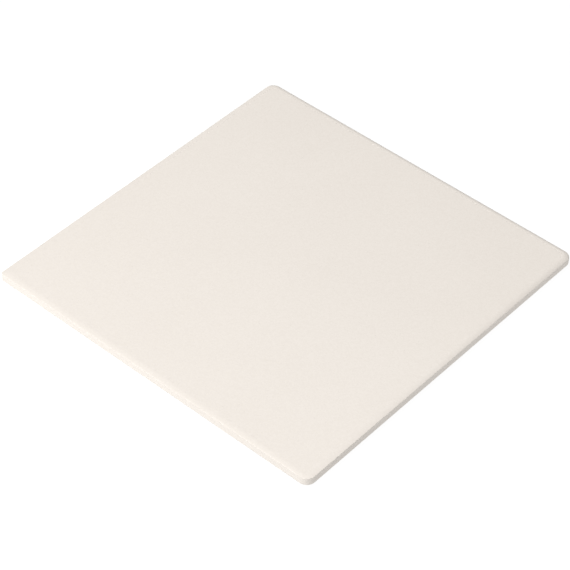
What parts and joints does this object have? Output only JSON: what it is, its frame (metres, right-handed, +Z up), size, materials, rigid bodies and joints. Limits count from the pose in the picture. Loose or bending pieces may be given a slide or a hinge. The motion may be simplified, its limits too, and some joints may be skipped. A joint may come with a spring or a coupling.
{
  "type": "stone slab",
  "caption": "Square thin slab of pale honed stone with rounded corners and eased edges, on low rubber feet, used as a flat work surface.",
  "frame": {"origin": "on the bench, under the slab's centre: the middle of the bottom of the bounding box, in the plane that the feet stand on", "axes": "+X to the right and +Y to the back, both along the slab's sides; +Z up, out of the honed working face"},
  "size_m": [0.305, 0.305, 0.011],
  "materials": {
    "stone": "matte",
    "rubber": "matte",
    "foam_tape": "matte"
  },
  "bodies": {
    "root": {"stone_slab": "stone", "foot_front_left": "rubber", "foot_front_right": "rubber", "foot_back_left": "rubber", "foot_back_right": "rubber", "foot_tape_front_left": "foam_tape", "foot_tape_front_right": "foam_tape", "foot_tape_back_left": "foam_tape", "foot_tape_back_right": "foam_tape"}
  },
  "joints": []
}
